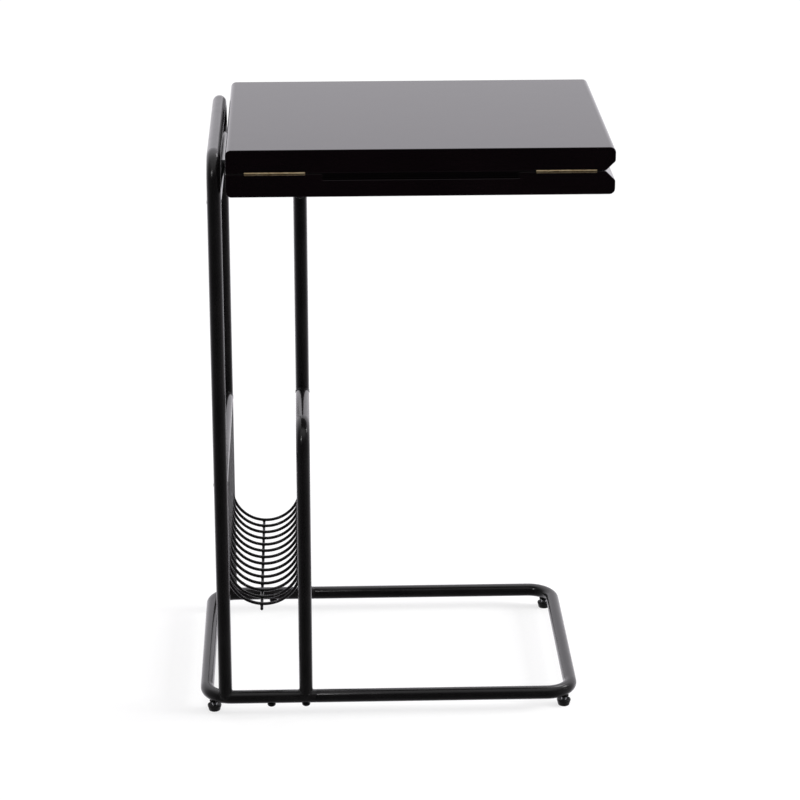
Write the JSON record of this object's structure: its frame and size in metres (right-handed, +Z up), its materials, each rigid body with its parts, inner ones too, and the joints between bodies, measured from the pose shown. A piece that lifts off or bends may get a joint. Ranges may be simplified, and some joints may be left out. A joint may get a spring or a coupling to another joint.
{
  "type": "side table",
  "caption": "C-shaped side table with a fold-over double top hinged along its front edge, a bent round-tube frame, a U-shaped wire magazine rack and screw feet.",
  "frame": {"origin": "on the floor, at the centre of the bounding box seen from above", "axes": "+X to the open end of the C, +Y to the rear (the hinges are on the front, -Y), +Z up"},
  "size_m": [0.447, 0.307, 0.648],
  "materials": {
    "frame_coat": "semi-gloss black powder coat on steel tube",
    "board_lacquer": "polished black lacquer on fibreboard",
    "black_plastic": "moulded black plastic, fine texture",
    "zinc_steel": "bright zinc plate",
    "hinge_brass": "satin brass plate"
  },
  "bodies": {
    "frame": {"base_left_tube": "frame_coat", "base_right_tube": "frame_coat", "base_bolts": "frame_coat", "base_bolt_nuts": "zinc_steel", "tall_hoop": "frame_coat", "rack_bar": "frame_coat", "low_hoop": "frame_coat", "post": "frame_coat", "top_crossbar": "frame_coat", "long_rail": "frame_coat", "arm_front": "frame_coat", "arm_rear": "frame_coat", "rail_end_caps": "black_plastic", "rack_wires": "frame_coat", "rack_spine": "frame_coat", "foot_nuts": "frame_coat", "lower_board": "board_lacquer", "board_screws": "zinc_steel", "hinge_left_fixed_leaf": "hinge_brass", "hinge_right_fixed_leaf": "hinge_brass", "hinge_left_pin": "hinge_brass", "hinge_right_pin": "hinge_brass", "hinge_screws_fixed": "hinge_brass"},
    "leaf": {"upper_board": "board_lacquer", "hinge_left_moving_leaf": "hinge_brass", "hinge_right_moving_leaf": "hinge_brass", "hinge_screws_moving": "hinge_brass"},
    "foot_fl": {"foot_pad_fl": "black_plastic", "foot_stud_fl": "zinc_steel"},
    "foot_fr": {"foot_pad_fr": "black_plastic", "foot_stud_fr": "zinc_steel"},
    "foot_bl": {"foot_pad_bl": "black_plastic", "foot_stud_bl": "zinc_steel"},
    "foot_br": {"foot_pad_br": "black_plastic", "foot_stud_br": "zinc_steel"}
  },
  "joints": [
    {"name": "leaf_flip", "type": "hinge", "parent": "frame", "child": "leaf", "pos_m": [0.0205, -0.15165, 0.6227], "axis": [1, 0, 0], "range_deg": [0, 180]},
    {"name": "foot_level_fl", "type": "slide", "parent": "frame", "child": "foot_fl", "axis": [0, 0, -1], "range_m": [-0.003, 0.005]},
    {"name": "foot_level_fr", "type": "slide", "parent": "frame", "child": "foot_fr", "axis": [0, 0, -1], "range_m": [-0.003, 0.005]},
    {"name": "foot_level_bl", "type": "slide", "parent": "frame", "child": "foot_bl", "axis": [0, 0, -1], "range_m": [-0.003, 0.005]},
    {"name": "foot_level_br", "type": "slide", "parent": "frame", "child": "foot_br", "axis": [0, 0, -1], "range_m": [-0.003, 0.005]}
  ]
}
